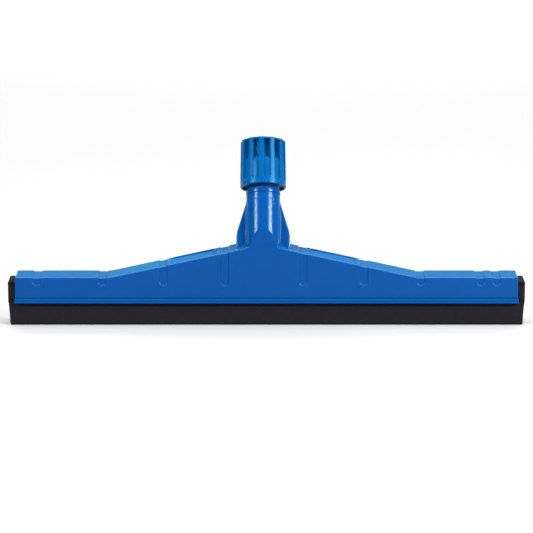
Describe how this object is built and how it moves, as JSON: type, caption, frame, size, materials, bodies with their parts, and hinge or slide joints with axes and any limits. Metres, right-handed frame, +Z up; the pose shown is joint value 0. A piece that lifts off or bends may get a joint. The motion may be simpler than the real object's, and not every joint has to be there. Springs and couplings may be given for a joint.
{
  "type": "floor squeegee head",
  "caption": "Floor squeegee head: gabled plastic frame with a leaning handle socket, a fluted locking collar and a slide-in double foam blade.",
  "frame": {"origin": "on the floor under the middle of the head's bounding box, where the blades' working edges rest", "axes": "+X along the blade, +Y from the flat front face to the back that the handle leans towards, +Z up"},
  "size_m": [0.45, 0.0654, 0.1623],
  "materials": {
    "frame_blue": "semi-gloss moulded polypropylene",
    "bush_blue": "semi-gloss moulded polypropylene",
    "collar_blue": "semi-gloss moulded polypropylene",
    "clamp_white": "plain moulded nylon",
    "foam_black": "closed-cell foam rubber with a moulded skin",
    "carrier_black": "extruded plastic"
  },
  "bodies": {
    "frame": {"frame_moulding": "frame_blue", "threaded_bush": "bush_blue"},
    "clamp_ring": {"clamp_ring": "clamp_white"},
    "collar": {"collar_nut": "collar_blue"},
    "blade_insert": {"blade_carrier": "carrier_black", "front_foam_blade": "foam_black", "rear_foam_blade": "foam_black"}
  },
  "joints": [
    {"name": "clamp_travel", "type": "slide", "parent": "frame", "child": "clamp_ring", "axis": [0, 0.4067, 0.9135], "range_m": [-0.0016, 0.006]},
    {"name": "collar_turn", "type": "hinge", "parent": "clamp_ring", "child": "collar", "pos_m": [-0.0029, 0.00603, 0.13421], "axis": [0, 0.4067, 0.9135], "range_deg": [-144, 540]},
    {"name": "insert_slide", "type": "slide", "parent": "frame", "child": "blade_insert", "axis": [1, 0, 0], "range_m": [-0.45, 0.45]}
  ],
  "couplings": [
    {"joint": "clamp_travel", "follows": "collar_turn", "m_per_rad": 0.00063662}
  ]
}
